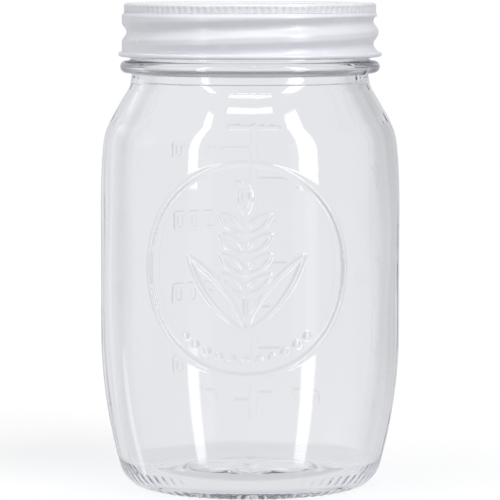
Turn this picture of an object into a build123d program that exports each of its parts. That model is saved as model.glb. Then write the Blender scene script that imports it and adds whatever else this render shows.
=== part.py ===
from build123d import *
import os
from math import asin, cos, degrees, pi, radians, sin, sqrt, tan

# Round glass storage jar of about 500 ml with a one-piece metal screw lid and its sealing ring.
# Millimetres, +Z up, the origin at the middle of the face that the jar stands on, the emblem on -Y.

# Glass body, outside
barrel_radius = 41.8
barrel_low = 44.0
barrel_high = 80.0
lower_wall_radius = 140.0
heel_radius = 8.5
shoulder_soft_radius = 160.0
shoulder_soft_angle = 5.74
shoulder_radius = 16.7
shoulder_slope = 30.6
neck_radius = 33.1
neck_fillet = 1.5
bead_foot_fillet = 0.5
bead_radius = 36.2
bead_height = 117.45
bead_width = 3.5
finish_radius = 33.4
rim_height = 133.9
lip_round = 1.3

# Glass body, inside
wall = 2.9
mouth_radius = 30.0
mouth_fillet = 4.0
inner_heel_radius = 7.0
floor_edge_height = 3.6
floor_middle_height = 6.3
floor_flat_radius = 13.0

# Underside of the glass: a flat bearing ring round a shallow push-up
bearing_width = 2.0
push_up_height = 3.0
push_up_radius = 17.0
push_up_step = 0.6

# Screw thread, right hand, the same pitch on the glass and in the lid
pitch = 6.35
fade_turn = 0.13
groove_at_left_height = 127.0
groove_start_angle = -110.0
groove_turns = 1.5
thread_above_groove = 2.3
thread_start_angle = -200.0
thread_turns = 1.36
thread_radius = 34.95
thread_foot_half = 1.5
thread_crest_half = 0.5
thread_bite = 0.6

# Metal lid
sheet = 0.3
lid_top_height = 135.2
panel_recess = 0.5
panel_radius = 28.2
panel_slope = 0.8
lid_corner_radius = 0.9
band_radius = 35.1
band_low = 132.5
band_top = 134.3
knurl_count = 112
knurl_radius = 0.8
knurl_depth = 0.12
skirt_radius = 35.74
skirt_top = 131.7
curl_height = 120.9
curl_radius = 0.5
curl_sweep = 300.0
groove_radius = 34.43
groove_foot_half = 1.5
groove_crest_half = 0.5

# Sealing ring under the edge of the lid's panel
liner_inner_radius = 29.3
liner_outer_radius = 34.5
liner_thickness = 0.85
liner_round = 0.3
liner_gap = 0.05

# Raised decoration: how far it stands out, how deep it is rooted, and the slab it is cut from
relief = 0.45
relief_bite = 0.8
slab_start = 30.0
slab_depth = 15.0

# Emblem on the front: a plain ring round a sprig of wheat, with a row of dots below
emblem_height = 64.0
ring_radius = 29.3
ring_width = 1.3
ring_points = 24
sprig_stroke = 1.0
kernel_length = 8.4
kernel_bulge = 1.5
kernel_lean = 52.0
kernel_pairs = 4
kernel_step = 5.4
kernel_foot = -6.5
stalk_foot = -17.0
leaf_tip = (15.5, 3.5)
leaf_bulge = 2.4
dot_count = 11
dot_radius = 0.9
dot_arc_radius = 24.3
dot_step = 8.5

# Measuring scale on the back
scale_stroke = 1.5
upright_stroke = 2.1
scale_foot_height = 13.3
scale_top_height = 101.3
scale_top_half = 7.4
long_tick = 9.5
short_tick = 5.6
ml_marks = range(50, 450, 50)
ml_numbered = 100
ounce_marks = range(2, 16, 2)
ounces_numbered = 4
ml_per_ounce = 29.5735
cubic_mm_per_ml = 1000
volume_slices = 1000
digit_width = 2.6
digit_height = 4.8
digit_stroke = 1.0
digit_step = 4.3
digit_corner = 1.0
letter_height = 3.0
number_gap = 12.5
unit_drop = 8.5

front = Plane(origin=(0, -slab_start, 0), x_dir=(1, 0, 0), z_dir=(0, -1, 0))
back = Plane(origin=(0, slab_start, 0), x_dir=(-1, 0, 0), z_dir=(0, 1, 0))


def along_circle(middle, radius, angle):
    """The point of a circle at an angle in degrees."""
    return (middle[0] + radius * cos(radians(angle)), middle[1] + radius * sin(radians(angle)))


def corner_angle(grow, floor_height, round_radius):
    """Angle below level at which the lower wall, moved out by grow, runs into its corner arc."""
    rise = barrel_low - floor_height - round_radius
    return degrees(asin(rise / (lower_wall_radius + grow - round_radius)))


lower_wall_middle = (barrel_radius - lower_wall_radius, barrel_low)
soft_middle = (barrel_radius - shoulder_soft_radius, barrel_high)
shoulder_middle = along_circle(soft_middle, shoulder_soft_radius - shoulder_radius, shoulder_soft_angle)
outer_angle = corner_angle(0, 0, heel_radius)
inner_angle = corner_angle(-wall, floor_edge_height, inner_heel_radius)
outer_corner = along_circle(lower_wall_middle, lower_wall_radius - heel_radius, -outer_angle)
inner_corner = along_circle(lower_wall_middle, lower_wall_radius - wall - inner_heel_radius, -inner_angle)

# The rise in the middle of the floor takes as much room as a cone with its top cut off
floor_rise = floor_middle_height - floor_edge_height
rise_section = (floor_flat_radius**2 + floor_flat_radius * inner_corner[0] + inner_corner[0] ** 2) / 3
floor_rise_volume = pi * rise_section * floor_rise


def barrel_edge(grow, foot_angle):
    """The barrel from low on the lower wall to the end of the shoulder's round, moved out by grow."""
    CenterArc(lower_wall_middle, lower_wall_radius + grow, -foot_angle, foot_angle)
    Line((barrel_radius + grow, barrel_low), (barrel_radius + grow, barrel_high))
    CenterArc(soft_middle, shoulder_soft_radius + grow, 0, shoulder_soft_angle)
    CenterArc(shoulder_middle, shoulder_radius + grow, shoulder_soft_angle, shoulder_slope - shoulder_soft_angle)


def shoulder_end(grow):
    """Where the shoulder's round gives way to the straight slope below the neck."""
    return along_circle(shoulder_middle, shoulder_radius + grow, shoulder_slope)


def slope_height(grow, radius):
    """Height at which the straight slope, moved out by grow, reaches a radius."""
    across, height = shoulder_end(grow)
    return height + (across - radius) / tan(radians(shoulder_slope))


def hollow_radius(height):
    """Radius of the hollow in the glass at a height below the end of the shoulder's round."""
    if height < inner_corner[1]:
        return inner_corner[0] + sqrt(inner_heel_radius**2 - (inner_corner[1] - height) ** 2)
    if height < barrel_low:
        return lower_wall_middle[0] + sqrt((lower_wall_radius - wall) ** 2 - (barrel_low - height) ** 2)
    if height < barrel_high:
        return barrel_radius - wall
    if height < along_circle(shoulder_middle, shoulder_radius - wall, shoulder_soft_angle)[1]:
        return soft_middle[0] + sqrt((shoulder_soft_radius - wall) ** 2 - (height - barrel_high) ** 2)
    return shoulder_middle[0] + sqrt((shoulder_radius - wall) ** 2 - (height - shoulder_middle[1]) ** 2)


def fill_height(millilitres):
    """Height at which the jar holds a volume, added up in level slices."""
    slice_height = (shoulder_end(-wall)[1] - floor_edge_height) / volume_slices
    height = floor_edge_height
    held = -floor_rise_volume
    while held < millilitres * cubic_mm_per_ml:
        held += pi * hollow_radius(height + slice_height / 2) ** 2 * slice_height
        height += slice_height
    return height


def wrap(along, up):
    """A point of flat artwork laid round the barrel, as it is seen square on."""
    return (barrel_radius * sin(along / barrel_radius), up)


def stroke(*points, width, radius=0):
    """A raised line through points, with its corners rounded to a radius."""
    with BuildLine() as middle_line:
        if radius:
            FilletPolyline(*points, radius=radius)
        else:
            Polyline(*points)
    trace(middle_line.line, line_width=width)


def lens(foot, tip, bulge):
    """The raised outline of a kernel or leaf: an arc on each side from foot to tip."""
    start = Vector(*foot)
    run = Vector(*tip) - start
    side = Vector(-run.Y, run.X).normalized() * bulge
    for way in (1, -1):
        with BuildLine() as edge_line:
            ThreePointArc(start, start + run / 2 + side * way, start + run)
        trace(edge_line.line, line_width=sprig_stroke)


def wrapped_circle(radius, mode):
    """A round disc of flat artwork, laid round the barrel."""
    points = []
    for number in range(ring_points):
        across, up = along_circle((0, emblem_height), radius, 360 * number / ring_points)
        points.append(wrap(across, up))
    with BuildLine() as outline:
        Spline(*points, periodic=True)
    make_face(outline.edges(), mode=mode)


def round_outline(along, up, height):
    """A closed rounded outline as wide as a digit, its lower left corner at along, up."""
    with Locations((along + digit_width / 2, up + height / 2)):
        RectangleRounded(digit_width + digit_stroke, height + digit_stroke, digit_corner + digit_stroke / 2)
        inner_corner_radius = digit_corner - digit_stroke / 2
        RectangleRounded(
            digit_width - digit_stroke, height - digit_stroke, inner_corner_radius, mode=Mode.SUBTRACT
        )


def glyph(sign, left, foot):
    """A digit or a unit's letter in plain strokes, its lower left corner at left, foot."""
    right = left + digit_width
    top = foot + digit_height
    half = foot + digit_height / 2
    low_top = foot + letter_height
    middle = left + digit_width / 2
    bent = {"width": digit_stroke, "radius": digit_corner}
    plain = {"width": digit_stroke}
    if sign == "0":
        round_outline(left, foot, digit_height)
    if sign == "1":
        stroke((left, top - digit_corner), (middle, top), (middle, foot), **plain)
    if sign == "2":
        stroke((left, top), (right, top), (right, half), (left, half), (left, foot), (right, foot), **bent)
    if sign == "3":
        stroke((left, top), (right, top), (right, foot), (left, foot), **bent)
        stroke((middle, half), (right, half), **plain)
    if sign == "4":
        stroke((right, foot), (right, top), **plain)
        stroke((left, top), (left, half), (right, half), **plain)
    if sign == "8":
        round_outline(left, foot, digit_height)
        stroke((left, half), (right, half), **plain)
    if sign == "m":
        stroke((left, foot), (left, low_top), (right, low_top), (right, foot), **bent)
        stroke((middle, foot), (middle, low_top), **plain)
    if sign == "l":
        stroke((left, foot), (left, top), **plain)
    if sign == "o":
        round_outline(left, foot, letter_height)
    if sign == "z":
        stroke((left, low_top), (right, low_top), (left, foot), (right, foot), **plain)


def word(signs, left, foot):
    """A row of digits or letters from its left end."""
    for place, sign in enumerate(signs):
        glyph(sign, left + place * digit_step, foot)


def mark(height, length, side):
    """A tick of the scale, from the upright line to one side."""
    stroke((0, height), (side * length, height), width=scale_stroke)


def rib_section(turn, foot, crest):
    """The face that cuts a helical rib after some turns, in the plane that holds the axis.

    foot and crest each hold a radius and half the rib's width there.
    """
    across = Vector(1, 0, 0).rotate(Axis.Z, 360 * turn)
    with BuildSketch(Plane((0, 0, pitch * turn), x_dir=across, z_dir=across.cross(Vector(0, 0, 1)))) as section:
        with BuildLine():
            Polyline(
                (foot[0], -foot[1]),
                (crest[0], -crest[1]),
                (crest[0], crest[1]),
                (foot[0], foot[1]),
                close=True,
            )
        make_face()
    return section.sketch


def helical_rib(turns, foot, crest, faded_radius):
    """A right-hand helical rib that starts on +X at height 0, with both ends sunk to faded_radius."""
    stations = (
        (0, faded_radius),
        (fade_turn, crest[0]),
        (turns / 2, crest[0]),
        (turns - fade_turn, crest[0]),
        (turns, faded_radius),
    )
    for (start, start_radius), (end, end_radius) in zip(stations, stations[1:]):
        with BuildLine() as helix:
            Helix(pitch, pitch * (end - start), crest[0])
        path = helix.line.moved(Location((0, 0, pitch * start), (0, 0, 360 * start)))
        sections = [
            rib_section(start, foot, (start_radius, crest[1])),
            rib_section(end, foot, (end_radius, crest[1])),
        ]
        sweep(sections, path=path, multisection=True, is_frenet=True)


def groove_height(angle):
    """Height of the middle of the lid's groove at an angle round the axis, in degrees from +X."""
    return groove_at_left_height + pitch * (angle - 180) / 360


# Skin of the barrel, which cuts the raised decoration to the curve of the glass
with BuildPart() as barrel_skin:
    with BuildSketch(Plane.XZ):
        with BuildLine():
            barrel_edge(relief, outer_angle)
            barrel_edge(-relief_bite, outer_angle)
            Line(shoulder_end(relief), shoulder_end(-relief_bite))
            Line(
                along_circle(lower_wall_middle, lower_wall_radius + relief, -outer_angle),
                along_circle(lower_wall_middle, lower_wall_radius - relief_bite, -outer_angle),
            )
        make_face()
    revolve(axis=Axis.Z)

# Emblem: ring, ear of wheat with two leaves, and dots
with BuildPart() as emblem:
    with BuildSketch(front):
        wrapped_circle(ring_radius, Mode.ADD)
        wrapped_circle(ring_radius - ring_width, Mode.SUBTRACT)
        ear_foot = emblem_height + kernel_foot
        ear_top = ear_foot + kernel_pairs * kernel_step
        stroke((0, emblem_height + stalk_foot), (0, ear_foot), width=sprig_stroke)
        for pair in range(kernel_pairs):
            kernel_start = (0, ear_foot + pair * kernel_step)
            for lean in (90 - kernel_lean, 90 + kernel_lean):
                lens(kernel_start, along_circle(kernel_start, kernel_length, lean), kernel_bulge)
        lens((0, ear_top), (0, ear_top + kernel_length), kernel_bulge)
        for side in (1, -1):
            leaf_end = (side * leaf_tip[0], emblem_height + leaf_tip[1])
            lens((0, emblem_height + stalk_foot), leaf_end, leaf_bulge)
        for number in range(dot_count):
            angle = -90 + (number - (dot_count - 1) / 2) * dot_step
            with Locations(along_circle((0, emblem_height), dot_arc_radius, angle)):
                Circle(dot_radius)
    extrude(amount=slab_depth)
    add(barrel_skin.part, mode=Mode.INTERSECT)

# Measuring scale: an upright line, millilitres on the reader's right and fluid ounces on the left
with BuildPart() as scale_marks:
    with BuildSketch(back):
        stroke((0, scale_foot_height), (0, scale_top_height), width=upright_stroke)
        stroke((-scale_top_half, scale_top_height), (scale_top_half, scale_top_height), width=scale_stroke)
        for amount in ml_marks:
            mark(fill_height(amount), short_tick if amount % ml_numbered else long_tick, 1)
            if amount % ml_numbered == 0:
                word(str(amount), number_gap, fill_height(amount) - digit_height / 2)
        for amount in ounce_marks:
            mark(fill_height(amount * ml_per_ounce), short_tick if amount % ounces_numbered else long_tick, -1)
            if amount % ounces_numbered == 0:
                signs = str(amount)
                left = -number_gap - digit_width - (len(signs) - 1) * digit_step
                word(signs, left, fill_height(amount * ml_per_ounce) - digit_height / 2)
        unit_foot = fill_height(ml_numbered) - digit_height / 2 - unit_drop
        word("ml", number_gap, unit_foot)
        word("oz", -number_gap - digit_width - digit_step, unit_foot)
    extrude(amount=slab_depth)
    add(barrel_skin.part, mode=Mode.INTERSECT)

# Helical ribs: on the glass, inside the lid, and the tool that presses the groove outside the lid
lid_inner_radius = skirt_radius - sheet
half_sheet = sheet / 2
with BuildPart() as glass_thread:
    helical_rib(
        thread_turns,
        (finish_radius - thread_bite, thread_foot_half),
        (thread_radius, thread_crest_half),
        finish_radius - thread_bite / 2,
    )

with BuildPart() as lid_rib:
    helical_rib(
        groove_turns,
        (lid_inner_radius + half_sheet, groove_foot_half + half_sheet),
        (groove_radius - sheet, groove_crest_half + half_sheet),
        lid_inner_radius + half_sheet / 2,
    )

with BuildPart() as groove_tool:
    helical_rib(
        groove_turns,
        (skirt_radius + sheet, groove_foot_half + half_sheet),
        (groove_radius, groove_crest_half),
        skirt_radius + half_sheet,
    )

# Glass jar
bead_middle = bead_radius - bead_width / 2
floor_bend = ((floor_flat_radius + inner_corner[0]) / 2, (floor_middle_height + floor_edge_height) / 2)
with BuildPart() as glass_jar:
    with BuildSketch(Plane.XZ):
        with BuildLine():
            Polyline(
                (0, push_up_height),
                (push_up_radius, push_up_height),
                (push_up_radius + push_up_step, push_up_height - push_up_step),
                (outer_corner[0] - bearing_width, 0),
                (outer_corner[0], 0),
            )
            CenterArc(outer_corner, heel_radius, -90, 90 - outer_angle)
            barrel_edge(0, outer_angle)
            FilletPolyline(
                shoulder_end(0),
                (neck_radius, slope_height(0, neck_radius)),
                (neck_radius, bead_height - bead_width / 2),
                (bead_middle, bead_height - bead_width / 2),
                radius=[neck_fillet, bead_foot_fillet],
            )
            CenterArc((bead_middle, bead_height), bead_width / 2, -90, 180)
            Polyline(
                (bead_middle, bead_height + bead_width / 2),
                (finish_radius, bead_height + bead_width / 2),
                (finish_radius, rim_height - lip_round),
            )
            CenterArc((finish_radius - lip_round, rim_height - lip_round), lip_round, 0, 90)
            Line((finish_radius - lip_round, rim_height), (mouth_radius + lip_round, rim_height))
            CenterArc((mouth_radius + lip_round, rim_height - lip_round), lip_round, 90, 90)
            FilletPolyline(
                (mouth_radius, rim_height - lip_round),
                (mouth_radius, slope_height(-wall, mouth_radius)),
                shoulder_end(-wall),
                radius=mouth_fillet,
            )
            barrel_edge(-wall, inner_angle)
            CenterArc(inner_corner, inner_heel_radius, -90, 90 - inner_angle)
            TangentArc((inner_corner[0], floor_edge_height), floor_bend, tangent=(-1, 0))
            TangentArc((floor_flat_radius, floor_middle_height), floor_bend, tangent=(1, 0))
            Polyline((floor_flat_radius, floor_middle_height), (0, floor_middle_height), (0, push_up_height))
        make_face()
    revolve(axis=Axis.Z)
    add(emblem.part)
    add(scale_marks.part)
    with Locations((0, 0, groove_height(thread_start_angle) + thread_above_groove)):
        add(glass_thread.part, rotation=(0, 0, thread_start_angle))

# Lid: panel, knurled band, skirt with its rolled thread, and the outward curl at the foot
with BuildPart() as lid_shell:
    with BuildSketch(Plane.XZ):
        with BuildLine():
            FilletPolyline(
                (0, lid_top_height - half_sheet - panel_recess),
                (panel_radius - panel_slope, lid_top_height - half_sheet - panel_recess),
                (panel_radius, lid_top_height - half_sheet),
                (band_radius - half_sheet, lid_top_height - half_sheet),
                (band_radius - half_sheet, band_low),
                (skirt_radius - half_sheet, skirt_top),
                (skirt_radius - half_sheet, curl_height),
                radius=[sheet, sheet, lid_corner_radius - half_sheet, sheet, sheet],
            )
        trace(line_width=sheet)
    revolve(axis=Axis.Z)
    with Locations((0, 0, groove_height(groove_start_angle))):
        add(lid_rib.part, rotation=(0, 0, groove_start_angle))
        add(groove_tool.part, rotation=(0, 0, groove_start_angle), mode=Mode.SUBTRACT)
    with BuildSketch(Plane.XZ):
        with BuildLine():
            JernArc((skirt_radius - half_sheet, curl_height), (0, -1), curl_radius, curl_sweep)
        trace(line_width=sheet)
    revolve(axis=Axis.Z)
    with Locations((0, 0, (band_low + band_top) / 2)):
        with PolarLocations(band_radius + knurl_radius - knurl_depth, knurl_count):
            Cylinder(knurl_radius, band_top - band_low, mode=Mode.SUBTRACT)

# Sealing ring
liner_top = lid_top_height - sheet - liner_gap
with BuildPart() as lid_liner:
    with BuildSketch(Plane.XZ):
        with Locations(((liner_inner_radius + liner_outer_radius) / 2, liner_top - liner_thickness / 2)):
            RectangleRounded(liner_outer_radius - liner_inner_radius, liner_thickness, liner_round)
    revolve(axis=Axis.Z)

glass_jar.part.label = "glass_jar"
lid_shell.part.label = "lid_shell"
lid_liner.part.label = "lid_liner"

os.makedirs("parts", exist_ok=True)
export_step(glass_jar.part, "parts/glass_jar.step")
export_step(lid_shell.part, "parts/lid_shell.step")
export_step(lid_liner.part, "parts/lid_liner.step")
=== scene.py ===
from math import asin, atan2, cos, degrees, pi, radians, sin, sqrt, tan

import bpy
import numpy as np
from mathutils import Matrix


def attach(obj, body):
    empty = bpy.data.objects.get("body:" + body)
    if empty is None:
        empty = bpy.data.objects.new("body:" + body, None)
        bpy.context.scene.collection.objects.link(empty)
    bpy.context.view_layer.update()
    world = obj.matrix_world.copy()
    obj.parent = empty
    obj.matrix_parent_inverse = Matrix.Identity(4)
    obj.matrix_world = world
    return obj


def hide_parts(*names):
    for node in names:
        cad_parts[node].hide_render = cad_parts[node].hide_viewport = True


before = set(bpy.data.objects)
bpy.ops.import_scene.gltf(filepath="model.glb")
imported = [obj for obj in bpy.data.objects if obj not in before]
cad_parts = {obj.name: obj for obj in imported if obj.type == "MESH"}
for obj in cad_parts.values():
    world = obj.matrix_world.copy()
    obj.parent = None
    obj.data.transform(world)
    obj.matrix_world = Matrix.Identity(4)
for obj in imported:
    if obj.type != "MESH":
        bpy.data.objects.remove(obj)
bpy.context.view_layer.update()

# Round glass storage jar with a white metal screw lid, on a plain white floor.
# Lengths are in millimetres until a mesh is made, +Z up, the emblem on -Y, as in the frame.
mm = 0.001

# Glass body, outside
barrel_radius = 41.8
barrel_low = 44.0
barrel_high = 80.0
lower_wall_radius = 140.0
heel_radius = 8.5
shoulder_soft_radius = 160.0
shoulder_soft_angle = 5.74
shoulder_radius = 16.7
shoulder_slope = 30.6
slope_start_angle = 26.5
slope_end_angle = 33.1
slope_radius = 90.0
neck_radius = 33.1
neck_lean = 0.2
bead_radius = 36.2
bead_height = 117.45
bead_width = 3.5
bead_bend = 0.5
bead_round = (-78.0, 72.0)
finish_radius = 33.4
finish_fillet = 0.6
rim_height = 133.9
lip_round = 1.3

# Glass body, inside
wall = 2.9
mouth_radius = 30.0
mouth_bend = 2.4
inner_heel_radius = 7.0
floor_edge_height = 3.6
floor_middle_height = 6.3
floor_flat_radius = 13.0

# Underside of the glass
bearing_width = 2.0
push_up_height = 3.0
push_up_radius = 17.0
push_up_step = 0.6
push_up_run = 1.3
push_up_bend = 0.42
bearing_soft = 0.9
nub_radius = 1.4
nub_height = 0.7
nub_profile = ((0.0, 1.0), (0.55, 0.85), (1.0, 0.143), (1.36, 0.0))  # shares of its radius and height

# Screw thread on the glass and in the lid
pitch = 6.35
fade_turn = 0.13
groove_at_left_height = 127.0
groove_start_angle = -155.0
groove_turns = 1.625
thread_above_groove = 2.3
thread_start_angle = -200.0
thread_turns = 1.36
thread_radius = 34.95
rib_half = 1.0
rib_soft = 0.65
groove_half = 1.4
groove_soft = 1.3

# Moulding marks on the glass
skin_allowance = 0.08
skin_fade = 12.0
seam_height = 0.07
seam_half = 0.3
parting_height = 113.6
parting_relief = 0.14
parting_half = 0.36
parting_soft = 0.14
neck_seam_angle = -25.6
neck_seam_height = 0.16
neck_seam_half = 0.5
neck_seam_soft = 0.2
neck_seam_fade = 1.5
heel_marks = 64
heel_mark_relief = 0.15
heel_mark_half = 0.22
heel_mark_soft = 0.22
heel_mark_columns = (-0.5, -0.18, -0.06, 0.06, 0.18)
heel_mark_inner = 29.6
heel_mark_outer = 33.6
heel_mark_end_soft = 0.5
heel_mark_margin = 1.0

# Slow unevenness of blown glass: waves round the axis that turn and fade along the height
outer_wave = 0.02
outer_wave_turn = 1.0
inner_wave = 0.13
inner_wave_turn = 0.4
broad_waves = 3
broad_turn_height = 17.0
broad_fade_height = 11.0
broad_twist = 2
fine_waves = 7
fine_turn_height = 9.0
fine_share = 0.5
wave_fade_floor = 20.0
wave_fade_mouth = 30.0

# Raised decoration
relief = 0.4
relief_soft = 0.26
emblem_height = 64.0
ring_radius = 29.3
ring_width = 1.3
sprig_stroke = 1.0
kernel_length = 8.4
kernel_bulge = 1.5
kernel_lean = 52.0
kernel_pairs = 4
kernel_step = 5.4
kernel_foot = -6.5
stalk_foot = -17.0
leaf_tip = (15.5, 3.5)
leaf_bulge = 2.4
dot_count = 11
dot_radius = 0.9
dot_arc_radius = 24.3
dot_step = 8.5
curve_steps = 10

# Measuring scale on the back
scale_relief = 0.42
scale_soft = 0.38
scale_stroke = 1.5
upright_stroke = 2.1
scale_foot_height = 13.3
scale_top_height = 101.3
scale_top_half = 7.4
long_tick = 9.5
short_tick = 5.6
ml_marks = range(50, 450, 50)
ml_numbered = 100
ounce_marks = range(2, 16, 2)
ounces_numbered = 4
ml_per_ounce = 29.5735
cubic_mm_per_ml = 1000
volume_slices = 1000
digit_width = 2.6
digit_height = 4.8
digit_stroke = 1.0
digit_step = 4.3
letter_height = 3.0
number_gap = 12.5
unit_drop = 8.5

# Metal lid
sheet = 0.3
lid_top_height = 135.2
panel_recess = 0.5
panel_radius = 28.2
panel_slope = 0.8
lid_corner_radius = 0.9
band_radius = 35.1
band_low = 132.5
band_top = 134.3
knurl_count = 112
knurl_depth = 0.34
knurl_wall = 0.12
knurl_sharpness = 1.5
knurl_fade_start = 0.2
knurl_fade_top = 0.5
knurl_fade_foot = 0.4
skirt_radius = 35.74
skirt_top = 131.7
curl_height = 120.9
curl_radius = 0.5
curl_round = (122.0, -160.0)
groove_radius = 34.43
panel_bend = 0.4
band_bend = 0.3
skirt_bend = 0.35
inner_bend = 0.3

# Sealing ring
liner_inner_radius = 29.3
liner_outer_radius = 34.5
liner_thickness = 0.85
liner_gap = 0.05
liner_round = 0.3
seal_mark_depth = 0.12
seal_mark_half = 0.6
seal_mark_soft = 0.4

# Mesh steps along the height and round the axis, and how far the fine ones reach
fine_step = 0.42
scale_step = 0.65
tick_step = 0.4
inner_step = 3.0
inner_round_step = 0.4
side_step = 2.6
step_growth = 0.35
emblem_reach = 29.8
scale_reach = 27.0
gather_reach = 1.0
gathered = (-0.7, -0.35, 0.0, 0.35, 0.7)
nearly_nothing = 1e-6

# Columns of corners round the axis
under_columns = 120
heel_columns = 198
neck_columns = 176
inner_columns = 120
panel_columns = 168
knurl_columns = 6        # for each scallop
skirt_columns = 360
liner_columns = 240

# How far the rings on a straight stretch stay clear of the axis, or of the round at each of its ends
flat_clear = 4.0
push_up_clear = 2.4
bearing_clear = (0.6, 0.3)
finish_clear = 0.3
mouth_clear = 0.8
panel_clear = 1.0
panel_inner_clear = 12.0
edge_clear = (1.2, 0.6)
edge_inner_clear = 2.0
band_clear = (0.15, 0.1)
band_inner_clear = 0.1
corner_inner_angle = 10.0
skirt_clear = (0.5, 0.585)
skirt_inner_clear = (0.4, 0.5)
liner_clear_top = 1.2
liner_clear_foot = 0.7

# Camera, read off the photograph: its rows are in the 500 pixel frame
camera_distance = 1000.0
camera_height = 148.0
camera_aim_height = 67.0
camera_aim_row = 246.7
camera_azimuth = 1.6
picture_side = 500
sensor_width = 36.0
focal_pixels = 3584.2


# Profiles, as lists of (radius, height) from the axis outwards and up

def along_circle(middle, radius, angle):
    """The point of a circle at an angle in degrees."""
    return (middle[0] + radius * cos(radians(angle)), middle[1] + radius * sin(radians(angle)))


def arc(middle, radius, start, end, steps):
    """Points on a circle from one angle to another."""
    return [along_circle(middle, radius, start + (end - start) * step / steps) for step in range(steps + 1)]


def line(start, end, steps):
    """Points on a straight stretch, both ends included."""
    return [
        (start[0] + (end[0] - start[0]) * step / steps, start[1] + (end[1] - start[1]) * step / steps)
        for step in range(steps + 1)
    ]


def bend(before, corner, after, reach, steps):
    """A corner rounded by a smooth curve that starts and ends at reach from it."""
    corner = np.array(corner)
    first = np.array(before) - corner
    last = np.array(after) - corner
    first *= reach / np.linalg.norm(first)
    last *= reach / np.linalg.norm(last)
    points = []
    for step in range(steps + 1):
        part = step / steps
        points.append(tuple(corner + first * (1 - part) ** 2 + last * part**2))
    return points


def corner_angle(grow, floor_height, round_radius):
    """Angle below level at which the lower wall, moved out by grow, runs into its corner arc."""
    rise = barrel_low - floor_height - round_radius
    return degrees(asin(rise / (lower_wall_radius + grow - round_radius)))


lower_wall_middle = (barrel_radius - lower_wall_radius, barrel_low)
soft_middle = (barrel_radius - shoulder_soft_radius, barrel_high)
shoulder_middle = along_circle(soft_middle, shoulder_soft_radius - shoulder_radius, shoulder_soft_angle)
outer_angle = corner_angle(0, 0, heel_radius)
inner_angle = corner_angle(-wall, floor_edge_height, inner_heel_radius)
outer_corner = along_circle(lower_wall_middle, lower_wall_radius - heel_radius, -outer_angle)
inner_corner = along_circle(lower_wall_middle, lower_wall_radius - wall - inner_heel_radius, -inner_angle)

# The rise in the middle of the floor takes as much room as a cone with its top cut off
floor_rise = floor_middle_height - floor_edge_height
rise_section = (floor_flat_radius**2 + floor_flat_radius * inner_corner[0] + inner_corner[0] ** 2) / 3
floor_rise_volume = pi * rise_section * floor_rise


def barrel_points(grow, foot_angle, step, round_step):
    """The barrel from low on the lower wall to the end of the shoulder's round, moved out by grow."""
    lower = radians(foot_angle) * (lower_wall_radius + grow)
    soft = radians(shoulder_soft_angle) * (shoulder_soft_radius + grow)
    high = radians(shoulder_slope - shoulder_soft_angle) * (shoulder_radius + grow)
    points = arc(lower_wall_middle, lower_wall_radius + grow, -foot_angle, 0, int(lower / step))
    straight = (barrel_high - barrel_low) / step
    points += line((barrel_radius + grow, barrel_low), (barrel_radius + grow, barrel_high), int(straight))[1:]
    points += arc(soft_middle, shoulder_soft_radius + grow, 0, shoulder_soft_angle, int(soft / step))[1:]
    round_steps = int(high / round_step)
    shoulder = arc(shoulder_middle, shoulder_radius + grow, shoulder_soft_angle, shoulder_slope, round_steps)
    return points + shoulder[1:]


def slope_height(grow, radius):
    """Height at which the straight slope, moved out by grow, reaches a radius."""
    across, height = along_circle(shoulder_middle, shoulder_radius + grow, shoulder_slope)
    return height + (across - radius) / tan(radians(shoulder_slope))


def hollow_radius(height):
    """Radius of the hollow in the glass at a height below the end of the shoulder's round."""
    if height < inner_corner[1]:
        return inner_corner[0] + sqrt(inner_heel_radius**2 - (inner_corner[1] - height) ** 2)
    if height < barrel_low:
        return lower_wall_middle[0] + sqrt((lower_wall_radius - wall) ** 2 - (barrel_low - height) ** 2)
    if height < barrel_high:
        return barrel_radius - wall
    if height < along_circle(shoulder_middle, shoulder_radius - wall, shoulder_soft_angle)[1]:
        return soft_middle[0] + sqrt((shoulder_soft_radius - wall) ** 2 - (height - barrel_high) ** 2)
    return shoulder_middle[0] + sqrt((shoulder_radius - wall) ** 2 - (height - shoulder_middle[1]) ** 2)


def fill_height(millilitres):
    """Height at which the jar holds a volume, added up in level slices."""
    top = along_circle(shoulder_middle, shoulder_radius - wall, shoulder_slope)[1]
    slice_height = (top - floor_edge_height) / volume_slices
    height = floor_edge_height
    held = -floor_rise_volume
    while held < millilitres * cubic_mm_per_ml:
        held += pi * hollow_radius(height + slice_height / 2) ** 2 * slice_height
        height += slice_height
    return height


# Raised lines, as flat artwork seen square on: each is a list of straight pieces (x1, z1, x2, z2)

def pieces(points):
    """The straight pieces between points."""
    return [(*start, *end) for start, end in zip(points, points[1:])]


def bowed(foot, tip, bulge):
    """The straight pieces of a curve from foot to tip that stands out to one side by bulge."""
    foot = np.array(foot)
    run = np.array(tip) - foot
    side = np.array((-run[1], run[0])) / np.linalg.norm(run) * bulge
    points = []
    for step in range(curve_steps + 1):
        part = step / curve_steps
        points.append(tuple(foot + run * part + side * 4 * part * (1 - part)))
    return pieces(points)


def lens(foot, tip, bulge):
    """Both edges of a kernel or leaf."""
    return bowed(foot, tip, bulge) + bowed(foot, tip, -bulge)


def sprig_lines():
    """The ear of wheat with its stalk and two leaves."""
    foot = (0, emblem_height + stalk_foot)
    ear_foot = emblem_height + kernel_foot
    ear_top = ear_foot + kernel_pairs * kernel_step
    lines = pieces([foot, (0, ear_foot)])
    for pair in range(kernel_pairs):
        kernel_start = (0, ear_foot + pair * kernel_step)
        for lean in (90 - kernel_lean, 90 + kernel_lean):
            lines += lens(kernel_start, along_circle(kernel_start, kernel_length, lean), kernel_bulge)
    lines += lens((0, ear_top), (0, ear_top + kernel_length), kernel_bulge)
    for side in (1, -1):
        lines += lens(foot, (side * leaf_tip[0], emblem_height + leaf_tip[1]), leaf_bulge)
    return lines


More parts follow.
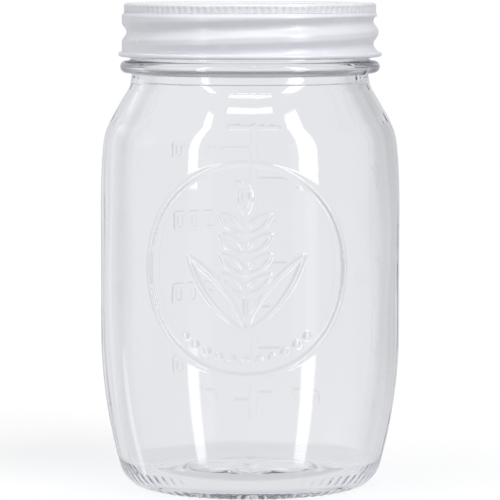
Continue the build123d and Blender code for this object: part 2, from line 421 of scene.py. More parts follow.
def dot_points():
    """The row of dots below the sprig, each a piece of no length."""
    dots = []
    for number in range(dot_count):
        angle = -90 + (number - (dot_count - 1) / 2) * dot_step
        middle = along_circle((0, emblem_height), dot_arc_radius, angle)
        dots.append((*middle, *middle))
    return dots


def glyph(sign, left, foot):
    """The strokes of a digit or a unit's letter, its lower left corner at left, foot."""
    right = left + digit_width
    middle = left + digit_width / 2
    top = foot + digit_height
    half = foot + digit_height / 2
    low_top = foot + letter_height
    box = [(left, foot), (left, top), (right, top), (right, foot), (left, foot)]
    low_box = [(left, foot), (left, low_top), (right, low_top), (right, foot), (left, foot)]
    strokes = {
        "0": [box],
        "1": [[(left, top - digit_stroke), (middle, top), (middle, foot)]],
        "2": [[(left, top), (right, top), (right, half), (left, half), (left, foot), (right, foot)]],
        "3": [[(left, top), (right, top), (right, foot), (left, foot)], [(middle, half), (right, half)]],
        "4": [[(right, foot), (right, top)], [(left, top), (left, half), (right, half)]],
        "8": [box, [(left, half), (right, half)]],
        "m": [low_box[:4], [(middle, foot), (middle, low_top)]],
        "l": [[(left, foot), (left, top)]],
        "o": [low_box],
        "z": [[(left, low_top), (right, low_top), (left, foot), (right, foot)]],
    }
    lines = []
    for stroke in strokes[sign]:
        lines += pieces(stroke)
    return lines


def word(signs, left, foot):
    """A row of digits or letters from its left end."""
    lines = []
    for place, sign in enumerate(signs):
        lines += glyph(sign, left + place * digit_step, foot)
    return lines


def scale_lines():
    """The upright line of the scale, its ticks, and the numbers and units beside it."""
    upright = [(0, scale_foot_height, 0, scale_top_height)]
    ticks = [(-scale_top_half, scale_top_height, scale_top_half, scale_top_height)]
    signs = []
    for amount in ml_marks:
        height = fill_height(amount)
        ticks.append((0, height, short_tick if amount % ml_numbered else long_tick, height))
        if amount % ml_numbered == 0:
            signs += word(str(amount), number_gap, height - digit_height / 2)
    for amount in ounce_marks:
        height = fill_height(amount * ml_per_ounce)
        ticks.append((0, height, -(short_tick if amount % ounces_numbered else long_tick), height))
        if amount % ounces_numbered == 0:
            left = -number_gap - digit_width - (len(str(amount)) - 1) * digit_step
            signs += word(str(amount), left, height - digit_height / 2)
    unit_foot = fill_height(ml_numbered) - digit_height / 2 - unit_drop
    signs += word("ml", number_gap, unit_foot)
    signs += word("oz", -number_gap - digit_width - digit_step, unit_foot)
    return upright, ticks, signs


def distance(across, up, lines):
    """How far each point of flat artwork is from the nearest of the straight pieces."""
    x, z, end_x, end_z = np.array(lines).T
    run_x = end_x - x
    run_z = end_z - z
    to_x = across[:, None] - x
    to_z = up - z
    length = np.maximum(run_x**2 + run_z**2, nearly_nothing)
    part = np.clip((to_x * run_x + to_z * run_z) / length, 0, 1)
    return np.hypot(to_x - part * run_x, to_z - part * run_z).min(1)


def smooth(part):
    """A part from 0 to 1, made level at both ends."""
    part = np.clip(part, 0, 1)
    return part * part * (3 - 2 * part)


def swell(gap, half, soft):
    """1 inside a raised line of that half width, falling smoothly to 0 over twice soft at its edge."""
    return smooth((half + soft - gap) / (2 * soft))


sprig = sprig_lines()
dots = dot_points()
scale_upright, scale_ticks, scale_signs = scale_lines()


# How far the skin of the glass stands out from its plain profile, at angles round the axis in degrees

def waves(angles, height, size, turn):
    """Slow unevenness of blown glass, between -size and size."""
    a = np.radians(angles)
    broad = np.sin(broad_waves * a + height / broad_turn_height + turn)
    broad = broad * np.cos(height / broad_fade_height - broad_twist * a)
    fine = np.sin(fine_waves * a - height / fine_turn_height + 2 * turn) * fine_share
    return size * (broad + fine) / (1 + fine_share)


def skin_drop(height):
    """How far the smooth glass lies inside the frame's box, so that the seams don't pass it."""
    low = np.clip(height / heel_radius, 0, 1)
    high = np.clip((slope_height(0, neck_radius) - height) / skin_fade, 0, 1)
    return skin_allowance * smooth(low * high)


def seams(angles, radius):
    """The two fine upright lines where the halves of the mould met."""
    gap = np.abs(np.radians((angles + 90) % 180 - 90)) * radius
    return seam_height * swell(gap, seam_half / 2, seam_half)


def barrel_relief(angles, radius, height):
    """Emblem on the front, scale on the back, seams at the sides."""
    a = np.radians(angles)
    across = radius * np.cos(a)
    front = np.sin(a) < 0
    out = seams(angles, radius) - skin_drop(height)
    out = out + waves(angles, height, outer_wave, outer_wave_turn) * skin_drop(height) / skin_allowance
    round_the_front = barrel_radius * np.arcsin(np.clip(across / barrel_radius, -1, 1))
    ring_gap = np.abs(np.hypot(round_the_front, height - emblem_height) - ring_radius + ring_width / 2)
    art = swell(ring_gap, ring_width / 2, relief_soft)
    art = np.maximum(art, swell(distance(across, height, sprig), sprig_stroke / 2, relief_soft))
    art = np.maximum(art, swell(distance(across, height, dots), dot_radius, relief_soft))
    marks = swell(distance(-across, height, scale_upright), upright_stroke / 2, scale_soft)
    marks = np.maximum(marks, swell(distance(-across, height, scale_ticks), scale_stroke / 2, scale_soft))
    marks = np.maximum(marks, swell(distance(-across, height, scale_signs), digit_stroke / 2, scale_soft))
    return out + np.where(front, relief * art, scale_relief * marks)


def heel_relief(angles, radius, height):
    """Short raised bars round the heel."""
    middle = (heel_mark_inner + heel_mark_outer) / 2
    half = (heel_mark_outer - heel_mark_inner) / 2
    turn = (angles + 180) / 360 * heel_marks - 0.5
    gap = np.abs(turn - np.round(turn)) * 2 * pi * radius / heel_marks
    bars = swell(gap, heel_mark_half, heel_mark_soft) * swell(abs(radius - middle), half, heel_mark_end_soft)
    return heel_mark_relief * bars - skin_drop(height)


def neck_relief(angles, radius, height):
    """The parting line at the foot of the neck, the body's seams below it and the neck ring's own above."""
    ridge = parting_relief * swell(np.array([abs(height - parting_height)]), parting_half, parting_soft)
    if height < parting_height:
        return np.maximum(seams(angles, radius), ridge) - skin_drop(height)
    gap = np.abs(np.radians((angles - neck_seam_angle + 90) % 180 - 90)) * radius
    fade = np.clip((bead_height - height) / neck_seam_fade, 0, 1)
    seam = neck_seam_height * swell(gap, neck_seam_half, neck_seam_soft) * fade
    return np.maximum(seam, ridge) - skin_drop(height)


def groove_height(angle):
    """Height of the middle of the lid's groove at an angle round the axis, in degrees from +X."""
    return groove_at_left_height + pitch * (angle - 180) / 360


def helix(angles, height, start_angle, start_height, turns, half, soft):
    """How fully a helical rib is raised at a height, from 0 beside it to 1 on its crest."""
    out = np.zeros(len(angles))
    for lap in range(int(turns) + 1):
        turn = ((angles - start_angle) % 360) / 360 + lap
        fade = smooth(np.minimum(turn, turns - turn) / fade_turn)
        gap = np.abs(height - start_height - pitch * turn)
        out = np.maximum(out, fade * swell(gap, half, soft))
    return out


def finish_relief(angles, radius, height):
    """The screw thread on the glass."""
    start = groove_height(thread_start_angle) + thread_above_groove
    rise = thread_radius - finish_radius
    return rise * helix(angles, height, thread_start_angle, start, thread_turns, rib_half, rib_soft)


def inner_relief(angles, radius, height):
    """Unevenness of the inside of the glass, fading towards the mouth and the floor."""
    low = np.clip((height - floor_edge_height) / wave_fade_floor, 0, 1)
    high = np.clip((slope_height(-wall, mouth_radius) - height) / wave_fade_mouth, 0, 1)
    return waves(angles, height, inner_wave, inner_wave_turn) * low * high


def plain(angles, radius, height):
    """No relief."""
    return np.zeros(len(angles))


# Meshes made of rings: each band has its own profile points, angles and relief

def even_angles(count):
    """Angles evenly round the axis, from -180 degrees on, where every ring starts."""
    return np.arange(count) * 360.0 / count - 180.0


def gather(angles, places, radius):
    """The angles, with those near a place put closer together."""
    near = degrees(gather_reach / radius)
    kept = [a for a in angles if min(abs((a - place + 180) % 360 - 180) for place in places) > near]
    added = [(place + degrees(offset / radius) + 180) % 360 - 180 for place in places for offset in gathered]
    return np.array(sorted(kept + added))


def mark_angles():
    """Angles gathered at each bar round the heel."""
    return (np.add.outer(np.arange(heel_marks) + 0.5, heel_mark_columns) * 360.0 / heel_marks - 180.0).ravel()


def barrel_angles(front_reach, back_reach):
    """Angles close together on the front and back of the barrel, and wider apart at the sides."""
    angles = []
    angle = -180.0
    while angle < 180.0:
        angles.append(angle)
        from_front = abs(radians(angle + 90)) * barrel_radius
        from_back = abs(radians(angle - 90)) * barrel_radius
        near_front = fine_step + max(0.0, step_growth * (from_front - front_reach))
        near_back = scale_step + max(0.0, step_growth * (from_back - back_reach))
        angle += degrees(min(near_front, near_back, side_step) / barrel_radius)
    return gather(angles, (0.0, 180.0), barrel_radius)


def ring_points(angles, across, up, out, push):
    """The corners of one ring, pushed out along the profile's normal."""
    a = np.radians(angles)
    radius = across + out[0] * push
    height = up + out[1] * push + 0 * a
    return np.stack([radius * np.cos(a), radius * np.sin(a), height], 1)


def stitch(low, low_angles, high, high_angles):
    """Faces between two rings, whose corners are numbered from low and high on."""
    count = len(low_angles)
    if count == len(high_angles):
        return [(low + i, low + (i + 1) % count, high + (i + 1) % count, high + i) for i in range(count)]
    faces = []
    i = j = 0
    first = np.append(low_angles, low_angles[0] + 360)
    second = np.append(high_angles, high_angles[0] + 360)
    while i < len(low_angles) or j < len(high_angles):
        near = low + i % len(low_angles)
        far = high + j % len(high_angles)
        if j == len(high_angles) or (i < len(low_angles) and first[i + 1] <= second[j + 1]):
            faces.append((near, low + (i + 1) % len(low_angles), far))
            i += 1
        else:
            faces.append((near, high + (j + 1) % len(high_angles), far))
            j += 1
    return faces


def turned_mesh(name, bands, closed=False):
    """A mesh of rings round the axis. Each band is (profile points, angles, relief)."""
    profile = [point for points, _, _ in bands for point in points]
    count = len(profile)
    corners = []
    faces = []
    rings = []
    at = 0
    for points, angles, raised in bands:
        for across, up in points:
            before = profile[(at - 1) % count] if closed or at else profile[0]
            after = profile[(at + 1) % count] if closed or at < count - 1 else profile[-1]
            run = np.array(after) - np.array(before)
            run /= np.linalg.norm(run)
            at += 1
            if across < nearly_nothing:
                rings.append((len(corners), None))
                corners.append((0.0, 0.0, up))
                continue
            push = raised(angles, across, up)
            rings.append((len(corners), angles))
            corners.extend(map(tuple, ring_points(angles, across, up, (run[1], -run[0]), push)))
    pairs = list(zip(rings, rings[1:]))
    if closed:
        pairs.append((rings[-1], rings[0]))
    for (low, low_angles), (high, high_angles) in pairs:
        if low_angles is None:
            n = len(high_angles)
            faces += [(low, high + (i + 1) % n, high + i) for i in range(n)]
        elif high_angles is None:
            n = len(low_angles)
            faces += [(low + i, low + (i + 1) % n, high) for i in range(n)]
        else:
            faces += stitch(low, low_angles, high, high_angles)
    mesh = bpy.data.meshes.new(name)
    mesh.from_pydata([(x * mm, y * mm, z * mm) for x, y, z in corners], [], faces)
    mesh.validate()
    mesh.shade_smooth()
    piece = bpy.data.objects.new(name, mesh)
    bpy.context.scene.collection.objects.link(piece)
    return piece


def glass_bands():
    """The whole skin of the glass, from the middle of the push-up round the outside and back down inside."""
    under_angles = even_angles(under_columns)
    heel_angles = even_angles(heel_columns)
    both = barrel_angles(emblem_reach, scale_reach)
    back_only = barrel_angles(-barrel_radius * pi, scale_reach)
    neck_angles = gather(even_angles(neck_columns), (neck_seam_angle, neck_seam_angle + 180), neck_radius)
    inner_angles = even_angles(inner_columns)

    # Push-up and bearing ring
    flat_end = push_up_radius - push_up_clear
    push_up_edge = (push_up_radius, push_up_height)
    step_foot = (push_up_radius + push_up_run, push_up_height - push_up_step)
    bearing_inner = (outer_corner[0] - bearing_width, 0.0)
    under = [(nub_radius * across, push_up_height - nub_height * drop) for across, drop in nub_profile]
    under += line((flat_clear, push_up_height), (flat_end, push_up_height), steps=5)
    under += bend((0, push_up_height), push_up_edge, step_foot, reach=push_up_bend, steps=5)
    under += bend(push_up_edge, step_foot, bearing_inner, reach=push_up_bend, steps=5)
    under += line(step_foot, bearing_inner, steps=11)[1:-2]
    bearing = bend(step_foot, bearing_inner, (outer_corner[0], 0.0), reach=bearing_soft, steps=8)
    bearing += [(outer_corner[0] - inside, 0.0) for inside in bearing_clear]

    # Heel, with its short bars in a band of their own
    whole_heel = arc(outer_corner, heel_radius, -90, -outer_angle, steps=28)[:-1]
    marks_start = heel_mark_inner - heel_mark_margin
    marks_end = heel_mark_outer + heel_mark_margin
    bearing += [p for p in whole_heel if p[0] < marks_start]
    marked_heel = [p for p in whole_heel if marks_start <= p[0] <= marks_end]
    heel = [p for p in whole_heel if p[0] > marks_end]

    # Barrel: fine rings at the emblem and at the top tick of the scale
    slope_start = along_circle(shoulder_middle, shoulder_radius, slope_start_angle)
    tick_foot = scale_top_height - scale_stroke
    tick_top = scale_top_height + scale_stroke
    tick_angle = degrees(asin((tick_foot - shoulder_middle[1]) / shoulder_radius))
    tick_steps = int(radians(slope_start_angle - tick_angle) * shoulder_radius / tick_step)
    fine = barrel_points(0, outer_angle, fine_step, fine_step)
    coarse = barrel_points(0, outer_angle, scale_step, scale_step)
    low_barrel = [p for p in coarse if p[1] < emblem_height - emblem_reach]
    middle_barrel = [p for p in fine if abs(p[1] - emblem_height) <= emblem_reach]
    high_barrel = [p for p in coarse if emblem_height + emblem_reach < p[1] < tick_foot]
    high_barrel += arc(shoulder_middle, shoulder_radius, tick_angle, slope_start_angle, tick_steps)[:-1]

    # Slope, neck and bead
    slope_middle = along_circle(slope_start, -slope_radius, slope_start_angle)
    slope = arc(slope_middle, slope_radius, slope_start_angle, slope_end_angle, steps=24)
    high_barrel += [p for p in slope if p[1] < tick_top]
    slope = [p for p in slope if p[1] >= tick_top]
    neck_reach = (slope[-1][0] - neck_radius) / sin(radians(slope_end_angle))
    neck_foot = (neck_radius, slope[-1][1] + neck_reach * cos(radians(slope_end_angle)))
    bead_foot = bead_height - bead_width / 2
    bead_middle = (bead_radius - bead_width / 2, bead_height)
    neck_top = (neck_radius - neck_lean, bead_foot)
    neck = bend(slope[-1], neck_foot, (neck_radius, bead_foot), reach=neck_reach, steps=12)[1:]
    neck += line(neck[-1], neck_top, steps=5)[1:-2]
    neck += bend(neck[-1], neck_top, (bead_middle[0], bead_foot), reach=bead_bend, steps=4)
    neck += arc(bead_middle, bead_width / 2, *bead_round, steps=15)

    # Finish and lip
    bead_top = bead_height + bead_width / 2
    finish_foot = (finish_radius, bead_top)
    finish_top = rim_height - lip_round
    finish_start = bead_top + finish_fillet + finish_clear
    rim = (finish_radius, rim_height)
    finish = bend((bead_middle[0], bead_top), finish_foot, rim, reach=finish_fillet, steps=4)
    finish += line((finish_radius, finish_start), (finish_radius, finish_top - finish_clear), steps=20)
    lip = arc((finish_radius - lip_round, finish_top), lip_round, 0, 90, steps=6)
    lip += arc((mouth_radius + lip_round, finish_top), lip_round, 90, 180, steps=6)

    # Inside, from the mouth down to the middle of the floor
    mouth_foot = (mouth_radius, slope_height(-wall, mouth_radius))
    mouth_end = mouth_foot[1] + mouth_bend + mouth_clear
    inner_slope = along_circle(shoulder_middle, shoulder_radius - wall, shoulder_slope)
    lip += line((mouth_radius, finish_top - mouth_clear), (mouth_radius, mouth_end), steps=8)
    inner = bend((mouth_radius, rim_height), mouth_foot, inner_slope, reach=mouth_bend, steps=8)
    inner += line(inner[-1], inner_slope, steps=5)[1:-1]
    inner += barrel_points(-wall, inner_angle, inner_step, inner_round_step)[::-1]
    inner += arc(inner_corner, inner_heel_radius, -inner_angle, -90, steps=30)[1:]
    half_run = (inner_corner[0] - floor_flat_radius) / 2
    bend_radius = (half_run**2 + floor_rise**2 / 4) / floor_rise
    bend_angle = degrees(2 * atan2(floor_rise / 2, half_run))
    low_middle = (inner_corner[0], floor_edge_height + bend_radius)
    high_middle = (floor_flat_radius, floor_middle_height - bend_radius)
    inner += arc(low_middle, bend_radius, -90, -90 - bend_angle, steps=6)[1:]
    inner += arc(high_middle, bend_radius, 90 - bend_angle, 90, steps=6)[1:]
    inner += line((floor_flat_radius, floor_middle_height), (0.0, floor_middle_height), steps=5)[1:]
    return [
        (under, under_angles, plain),
        (bearing, heel_angles, heel_relief),
        (marked_heel, mark_angles(), heel_relief),
        (heel, heel_angles, heel_relief),
        (low_barrel, back_only, barrel_relief),
        (middle_barrel, both, barrel_relief),
        (high_barrel, back_only, barrel_relief),
        (slope + neck, neck_angles, neck_relief),
        (finish, neck_angles, finish_relief),
        (lip, inner_angles, plain),
        (inner, inner_angles, inner_relief),
    ]


def knurl_relief(angles, radius, height):
    """Scallops round the grip band, fading at its top and foot."""
    scallops = 0.5 + 0.5 * np.cos(np.radians(angles) * knurl_count)
    top = np.clip((band_top + knurl_fade_start - height) / knurl_fade_top, 0, 1)
    foot = np.clip((height - band_low) / knurl_fade_foot, 0, 1)
    return -knurl_depth * scallops**knurl_sharpness * top * foot


def skirt_groove(angles, height):
    """How far the rolled thread of the lid goes in at a height."""
    depth = skirt_radius - groove_radius
    start = groove_height(groove_start_angle)
    return depth * helix(angles, height, groove_start_angle, start, groove_turns, groove_half, groove_soft)


def skirt_relief(angles, radius, height):
    """The rolled thread from outside."""
    return -skirt_groove(angles, height)


def skirt_inner_relief(angles, radius, height):
    """The rolled thread from inside."""
    return skirt_groove(angles, height)


def lid_bands():
    """The skin of the lid's sheet, from inside the panel down, round the curl and back up outside."""
    panel_angles = even_angles(panel_columns)
    knurl_angles = even_angles(knurl_count * knurl_columns)
    skirt_angles = even_angles(skirt_columns)

    # Panel and its raised edge
    top = lid_top_height
    low = top - panel_recess
    panel_foot = (panel_radius - panel_slope, low)
    panel_edge = (panel_radius, top)
    edge_start = panel_radius + edge_clear[0]
    edge_end = band_radius - lid_corner_radius - edge_clear[1]
    panel = [(0.0, low)] + line((flat_clear, low), (panel_foot[0] - panel_clear, low), steps=6)
    panel += bend((0, low), panel_foot, panel_edge, reach=panel_bend, steps=4)
    panel += bend(panel_foot, panel_edge, (band_radius, top), reach=panel_bend, steps=4)
    panel += line((edge_start, top), (edge_end, top), steps=3)

    # Grip band and skirt
    corner = (band_radius - lid_corner_radius, top - lid_corner_radius)
    band_foot = (band_radius, band_low - band_clear[1])
    skirt_head = (skirt_radius, skirt_top)
    skirt_foot = (skirt_radius, curl_height)
    band = arc(corner, lid_corner_radius, 90, 0, steps=8)
    band_ends = ((band_radius, band_top - band_clear[0]), (band_radius, band_low + band_clear[1]))
    skirt_ends = ((skirt_radius, skirt_top - skirt_clear[0]), (skirt_radius, curl_height + skirt_clear[1]))
    band += line(*band_ends, steps=8)
    band += bend((band_radius, band_top), band_foot, skirt_head, reach=band_bend, steps=4)
    skirt = bend((band_radius, band_low), skirt_head, skirt_foot, reach=skirt_bend, steps=4)
    skirt += line(*skirt_ends, steps=34)
    curl_middle = (skirt_radius - sheet / 2 + curl_radius, curl_height)
    curl = arc(curl_middle, curl_radius + sheet / 2, *curl_round, steps=20)

    # The same from inside, one sheet further in
    radius = skirt_radius - sheet
    inside = band_radius - knurl_depth - knurl_wall
    band_ends = ((inside, band_low + band_inner_clear), (inside, band_top - band_inner_clear))
    skirt_ends = ((radius, curl_height + skirt_inner_clear[1]), (radius, skirt_top - skirt_inner_clear[0]))
    inner_skirt = line(*skirt_ends, steps=30)
    inner = bend((radius, curl_height), (radius, skirt_top), (inside, band_low), reach=inner_bend, steps=3)
    inner += line(*band_ends, steps=3)
    inner += arc(corner, lid_corner_radius - sheet, corner_inner_angle, 90, steps=5)
    inner += [(panel_radius + edge_inner_clear, top - sheet), (panel_radius, top - sheet)]
    inner += [(panel_foot[0], low - sheet), (panel_radius - flat_clear, low - sheet)]
    inner += [(panel_inner_clear, low - sheet), (0.0, low - sheet)]
    return [
        (inner[::-1], panel_angles, plain),
        (inner_skirt[::-1], skirt_angles, skirt_inner_relief),
        (curl[::-1], skirt_angles, plain),
        (skirt[::-1], skirt_angles, skirt_relief),
        (band[::-1], knurl_angles, knurl_relief),
        (panel[::-1], panel_angles, plain),
    ]


def liner_bands():
    """The sealing ring, with the shallow mark that the rim of the glass leaves in it."""
    top = lid_top_height - sheet - liner_gap
    foot = top - liner_thickness
    r = liner_round
    inside = liner_inner_radius
    outside = liner_outer_radius
    outline = arc((outside - r, foot + r), r, -90, 0, steps=4)
    outline += arc((outside - r, top - r), r, 0, 90, steps=4)
    outline += line((outside - liner_clear_top, top), (inside + liner_clear_top, top), steps=4)
    outline += arc((inside + r, top - r), r, 90, 180, steps=4)
    outline += arc((inside + r, foot + r), r, 180, 270, steps=4)
    outline += line((inside + liner_clear_foot, foot), (outside - liner_clear_foot, foot), steps=14)

    def seal_mark(angles, radius, height):
        if height > foot + nearly_nothing:
            return plain(angles, radius, height)
        rim_gap = np.full(len(angles), abs(radius - (mouth_radius + finish_radius) / 2))
        return -seal_mark_depth * swell(rim_gap, seal_mark_half, seal_mark_soft)

    return [(outline, even_angles(liner_columns), seal_mark)]


# Materials

white = (1.0, 1.0, 1.0, 1.0)
glass_tint = (0.80, 0.86, 0.95, 1.0)
glass_density = 10.0
glass_shadow = (0.97, 0.975, 0.98, 1.0)
film_roughness = 0.035
enamel_dark = (0.795, 0.80, 0.845, 1.0)
enamel_light = (0.83, 0.835, 0.87, 1.0)
enamel_roughness = (0.25, 0.31)
compound_dark = (0.60, 0.59, 0.56, 1.0)
compound_light = (0.74, 0.73, 0.70, 1.0)
room_tint = (0.965, 0.972, 1.0, 1.0)


class Graph:
    """A node tree with short ways to add nodes and links."""

    def __init__(self, tree):
        self.tree = tree
        tree.nodes.clear()

    def add(self, kind, inputs=(), **settings):
        """A new node with its settings and inputs."""
        node = self.tree.nodes.new(kind)
        for name, value in settings.items():
            setattr(node, name, value)
        for name, value in dict(inputs).items():
            self.feed(node.inputs[name], value)
        return node

    def feed(self, socket, value):
        """Link an output to an input, or set the input to a value."""
        if isinstance(value, bpy.types.NodeSocket):
            self.tree.links.new(value, socket)
        else:
            socket.default_value = value

    def math(self, kind, first, second=0.0):
        """One operation on one or two numbers."""
        node = self.add("ShaderNodeMath", inputs={0: first, 1: second}, operation=kind)
        return node.outputs[0]

    def blend(self, part, first, second):
        """A colour between two others."""
        node = self.add("ShaderNodeMix", data_type="RGBA")
        self.feed(node.inputs["Factor"], part)
        self.feed(node.inputs["A"], first)
        self.feed(node.inputs["B"], second)
        return node.outputs["Result"]

    def steps(self, value, low, high, out_low=0.0, out_high=1.0):
        """A smooth step to out_high, as the value goes from low to high."""
        ends = {"Value": value, "From Min": low, "From Max": high, "To Min": out_low, "To Max": out_high}
        node = self.add("ShaderNodeMapRange", inputs=ends, interpolation_type="SMOOTHSTEP")
        return node.outputs["Result"]

    def show(self, shader, kind="ShaderNodeOutputMaterial"):
        """The output node, showing this shader."""
        output = self.add(kind)
        self.feed(output.inputs["Surface"], shader.outputs[0])
        return output


def new_material(name):
    """An empty material and its graph."""
    material = bpy.data.materials.new(name)
    material.use_nodes = True
    return material, Graph(material.node_tree)


def noise(graph, place, scale, detail=2.0):
    """A noise texture in the piece's own coordinates."""
    node = graph.add("ShaderNodeTexNoise", inputs={"Vector": place, "Scale": scale, "Detail": detail})
    return node.outputs["Fac"]


def glass_material():
    """Clear moulded glass: a faint cool tint, slight ripple, and films of dust that dull it a little."""
    material, graph = new_material("clear_glass")
    place = graph.add("ShaderNodeTexCoord").outputs["Object"]
    ripple = noise(graph, place, scale=90.0)
    film = noise(graph, place, scale=38.0, detail=6.0)
    film = graph.steps(film, low=0.52, high=0.75, out_high=film_roughness)
    bump = graph.add("ShaderNodeBump", inputs={"Strength": 0.05, "Distance": 0.0004, "Height": ripple})
    glass = graph.add("ShaderNodeBsdfPrincipled", inputs={
        "Base Color": white,
        "Roughness": film,
        "IOR": 1.5,
        "Transmission Weight": 1.0,
        "Normal": bump.outputs["Normal"],
    })
    clear = graph.add("ShaderNodeBsdfTransparent", inputs={"Color": glass_shadow})
    path = graph.add("ShaderNodeLightPath")
    passing = graph.math("MAXIMUM", path.outputs["Is Shadow Ray"], path.outputs["Is Diffuse Ray"])
    mixed = graph.add("ShaderNodeMixShader", inputs={0: passing, 1: glass.outputs[0], 2: clear.outputs[0]})
    tint = graph.add("ShaderNodeVolumeAbsorption", inputs={"Color": glass_tint, "Density": glass_density})
    graph.feed(graph.show(mixed).inputs["Volume"], tint.outputs[0])
    return material


def enamel_material():
    """White enamel on tinplate: orange peel, faint mottling, and a few scuffs that are duller."""
    material, graph = new_material("white_enamel")
    place = graph.add("ShaderNodeTexCoord").outputs["Object"]
    mottle = graph.steps(noise(graph, place, scale=60.0, detail=4.0), low=0.35, high=0.65)
    color = graph.blend(mottle, enamel_dark, enamel_light)
    scuff = graph.steps(noise(graph, place, scale=240.0, detail=8.0), low=0.6, high=0.8)
    rough = graph.steps(scuff, 0.0, 1.0, *enamel_roughness)
    peel = noise(graph, place, scale=1400.0, detail=1.0)
    bump = graph.add("ShaderNodeBump", inputs={"Strength": 0.04, "Distance": 0.0002, "Height": peel})
    paint = graph.add("ShaderNodeBsdfPrincipled", inputs={
        "Base Color": color,
        "Roughness": rough,
        "Coat Weight": 0.3,
        "Coat Roughness": 0.12,
        "Normal": bump.outputs["Normal"],
    })
    graph.show(paint)
    return material


def compound_material():
    """Soft sealing compound: pale grey, matt, with a fine grain."""
    material, graph = new_material("sealing_compound")
    place = graph.add("ShaderNodeTexCoord").outputs["Object"]
    mottle = noise(graph, place, scale=300.0, detail=5.0)
    color = graph.blend(mottle, compound_dark, compound_light)
    grain = noise(graph, place, scale=2500.0)
    bump = graph.add("ShaderNodeBump", inputs={"Strength": 0.25, "Distance": 0.0002, "Height": grain})
    soft = graph.add("ShaderNodeBsdfPrincipled", inputs={
        "Base Color": color,
        "Roughness": 0.7,
        "Normal": bump.outputs["Normal"],
    })
    graph.show(soft)
    return material


# Studio: the glass mirrors and bends a pale room with bright panes and patches of a white wall

floor_half = 1500.0
room_left = 0.77
room_right = 0.55
room_turn = 0.8
table_level = 0.80
table_edge = (-0.5, 0.1)
wall_level = 0.85
wall_azimuths = (181.6, 225.0, 270.0, 45.0)    # each opposite a view, from the front, 45, 90 and 225
wall_half = 10.4
wall_soft = 4.5
wall_foot = -14.0
wall_top = 11.0
glow_level = 1.05
glow_top = 22.0
strip_bow = 0.33
diffuse_level = 0.30
floor_color = 0.6
floor_lift = 0.4
floor_drop = 0.1
# Painted shadow: how much darker glass and gloss see the floor under the jar, and where it fades out
floor_painted_shadow = 0.80
painted_shadow_inner = 23.0
painted_shadow_outer = 30.0
light_bounces = 24

# Bright panes that the glass and the lid mirror
# Azimuth, half width, low, high and softness, in degrees, and then level
window_panes = (
    (49.0, 4.5, -36.0, 12.0, 4.0, 1.5),
    (-113.0, 3.0, -33.0, -8.0, 2.5, 2.2),
    (-43.0, 4.0, 0.0, 52.0, 0.8, 6.5),
    (47.5, 8.0, 0.0, 52.0, 1.2, 6.5),
    (1.6, 27.0, 55.3, 57.7, 0.5, 6.5),
    (1.6, 31.0, 61.7, 62.9, 0.25, 5.5),
    (1.6, 24.0, 70.0, 84.0, 2.0, 1.8),
    (-43.0, 4.5, -33.0, -8.0, 2.0, 6.5),
    (47.5, 5.5, -33.0, -8.0, 2.0, 6.5),
)


def window(graph, direction, azimuth, half_width, low, high, soft):
    """1 towards a patch of the room. Azimuth 0 is towards the front of the jar and 90 towards its right.

    Its top and foot lie between level all round and straight, by strip_bow.
    """
    x, y, z = direction
    ahead = (sin(radians(azimuth)), -cos(radians(azimuth)))
    along = graph.math("ADD", graph.math("MULTIPLY", x, ahead[0]), graph.math("MULTIPLY", y, ahead[1]))
    beside = graph.math("ADD", graph.math("MULTIPLY", x, -ahead[1]), graph.math("MULTIPLY", y, ahead[0]))
    turn = graph.math("ABSOLUTE", graph.math("ARCTAN2", beside, along))
    reach_squared = graph.math("ADD", graph.math("MULTIPLY", x, x), graph.math("MULTIPLY", y, y))
    bowed_reach = graph.math("MULTIPLY", graph.math("SQRT", reach_squared), 1 - strip_bow)
    bowed_reach = graph.math("ADD", bowed_reach, graph.math("MULTIPLY", along, strip_bow))
    lift = graph.math("ARCTAN2", z, bowed_reach)
    soft = radians(soft)
    inside = graph.steps(turn, radians(half_width) - soft, radians(half_width) + soft, 1.0, 0.0)
    above = graph.steps(lift, radians(low) - soft, radians(low) + soft)
    below = graph.steps(lift, radians(high) - soft, radians(high) + soft, 1.0, 0.0)
    return graph.math("MULTIPLY", inside, graph.math("MULTIPLY", above, below))


def build_world():
    """Plain light for matt surfaces, white past the jar, and the room for glass and gloss."""
    world = bpy.data.worlds.new("studio")
    bpy.context.scene.world = world
    world.use_nodes = True
    graph = Graph(world.node_tree)
    looking = graph.add("ShaderNodeTexCoord").outputs["Generated"]
    direction = tuple(graph.add("ShaderNodeSeparateXYZ", inputs={0: looking}).outputs)
    path = graph.add("ShaderNodeLightPath")
    mirrored = graph.math("SUBTRACT", 1.0, path.outputs["Is Transmission Ray"])
    level = graph.steps(direction[0], -room_turn, room_turn, room_left, room_right)
    level = graph.steps(direction[2], *table_edge, table_level, level)
    for azimuth in wall_azimuths:
        patch = window(graph, direction, azimuth, wall_half, wall_foot, wall_top, wall_soft)
        level = graph.steps(patch, 0.0, 1.0, level, wall_level)
        glow = window(graph, direction, azimuth, wall_half, wall_top, glow_top, wall_soft)
        level = graph.steps(glow, 0.0, 1.0, level, glow_level)
    for azimuth, half_width, low, high, soft, pane_level in window_panes:
        pane = window(graph, direction, azimuth, half_width, low, high, soft)
        pane = graph.math("MULTIPLY", pane, mirrored)
        level = graph.steps(pane, 0.0, 1.0, level, pane_level)
    through = graph.math("MAXIMUM", path.outputs["Is Glossy Ray"], path.outputs["Is Transmission Ray"])
    level = graph.math("MULTIPLY", level, through)
    rest = graph.math("MULTIPLY", graph.math("SUBTRACT", 1.0, through), diffuse_level)
    level = graph.math("ADD", level, rest)
    camera_ray = path.outputs["Is Camera Ray"]
    level = graph.math("MAXIMUM", level, camera_ray)
    color = graph.blend(camera_ray, room_tint, white)
    background = graph.add("ShaderNodeBackground", inputs={"Color": color, "Strength": level})
    graph.show(background, kind="ShaderNodeOutputWorld")


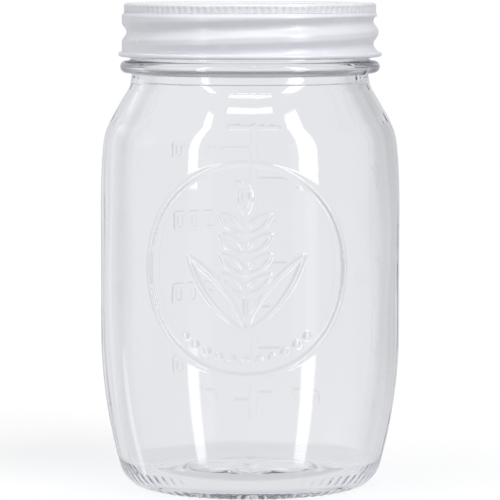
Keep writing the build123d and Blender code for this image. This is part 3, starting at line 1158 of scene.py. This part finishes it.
def build_floor():
    """White floor with the jar's shadow. Glass and gloss see the room there, with a painted shadow under the
    jar.
    """
    half = floor_half * mm
    mesh = bpy.data.meshes.new("floor")
    low = -floor_drop * mm
    corners = [(-half, -half, low), (half, -half, low), (half, half, low), (-half, half, low)]
    mesh.from_pydata(corners, [], [(0, 1, 2, 3)])
    floor = bpy.data.objects.new("floor", mesh)
    bpy.context.scene.collection.objects.link(floor)
    material, graph = new_material("floor")
    matt = graph.add("ShaderNodeBsdfDiffuse", inputs={"Color": (floor_color, floor_color, floor_color, 1.0)})
    path = graph.add("ShaderNodeLightPath")
    lift = graph.math("MULTIPLY", path.outputs["Is Camera Ray"], floor_lift)
    glow = graph.add("ShaderNodeEmission", inputs={"Strength": lift})
    lit = graph.add("ShaderNodeAddShader", inputs={0: matt.outputs[0], 1: glow.outputs[0]})
    place = graph.add("ShaderNodeTexCoord").outputs["Object"]
    reach = graph.add("ShaderNodeVectorMath", inputs={0: place}, operation="LENGTH").outputs["Value"]
    # Painted shadow: what glass and gloss see of the floor is darker under the jar
    shade = graph.steps(reach, painted_shadow_inner * mm, painted_shadow_outer * mm, floor_painted_shadow, 1.0)
    gone = graph.add("ShaderNodeBsdfTransparent", inputs={"Color": shade})
    through = graph.math("MAXIMUM", path.outputs["Is Glossy Ray"], path.outputs["Is Transmission Ray"])
    mixed = graph.add("ShaderNodeMixShader", inputs={0: through, 1: lit.outputs[0], 2: gone.outputs[0]})
    graph.show(mixed)
    floor.data.materials.append(material)


# Lamps: azimuth, height, power and softness
lamps = (
    ("key_lamp", 42.0, 45.0, 1.76, 40.0),
    ("fill_lamp", -52.0, 38.0, 0.8, 60.0),
    ("top_lamp", 0.0, 80.0, 0.62, 60.0),
)


def add_lamp(name, azimuth, height, power, softness):
    """A distant soft lamp. The bright panes stand for it in gloss and glass."""
    data = bpy.data.lights.new(name, "SUN")
    data.energy = power
    data.angle = radians(softness)
    lamp = bpy.data.objects.new(name, data)
    lamp.rotation_euler = (radians(90 - height), 0, radians(azimuth))
    lamp.visible_camera = False
    lamp.visible_glossy = False
    lamp.visible_transmission = False
    bpy.context.scene.collection.objects.link(lamp)


def build_camera():
    """The photograph's view."""
    data = bpy.data.cameras.new("camera")
    data.sensor_width = sensor_width
    data.lens = focal_pixels / picture_side * sensor_width
    data.shift_y = (camera_aim_row - picture_side / 2) / picture_side
    camera = bpy.data.objects.new("camera", data)
    turn = radians(camera_azimuth)
    camera.location = (
        camera_distance * sin(turn) * mm,
        -camera_distance * cos(turn) * mm,
        camera_height * mm,
    )
    drop = atan2(camera_height - camera_aim_height, camera_distance)
    camera.rotation_euler = (pi / 2 - drop, 0, turn)
    bpy.context.scene.collection.objects.link(camera)
    bpy.context.scene.camera = camera
    bpy.context.scene.view_settings.view_transform = "Standard"


build_camera()
build_world()
build_floor()
for lamp in lamps:
    add_lamp(*lamp)

# Light that is caught in the thick heel and bead is mirrored many times before it leaves
for kind in ("max_bounces", "glossy_bounces", "transmission_bounces"):
    setattr(bpy.context.scene.cycles, kind, light_bounces)

for name, bands, closed, material, node, body, slot in (
    ("jar_glass", glass_bands(), False, glass_material(), "glass_jar", "jar", "clear_glass"),
    ("lid_enamel", lid_bands(), False, enamel_material(), "lid_shell", "lid", "white_enamel"),
    ("lid_seal", liner_bands(), True, compound_material(), "lid_liner", "liner", "sealing_compound"),
):
    piece = turned_mesh(name, bands, closed)
    piece.data.materials.append(material)
    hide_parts(node)
    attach(piece, body)
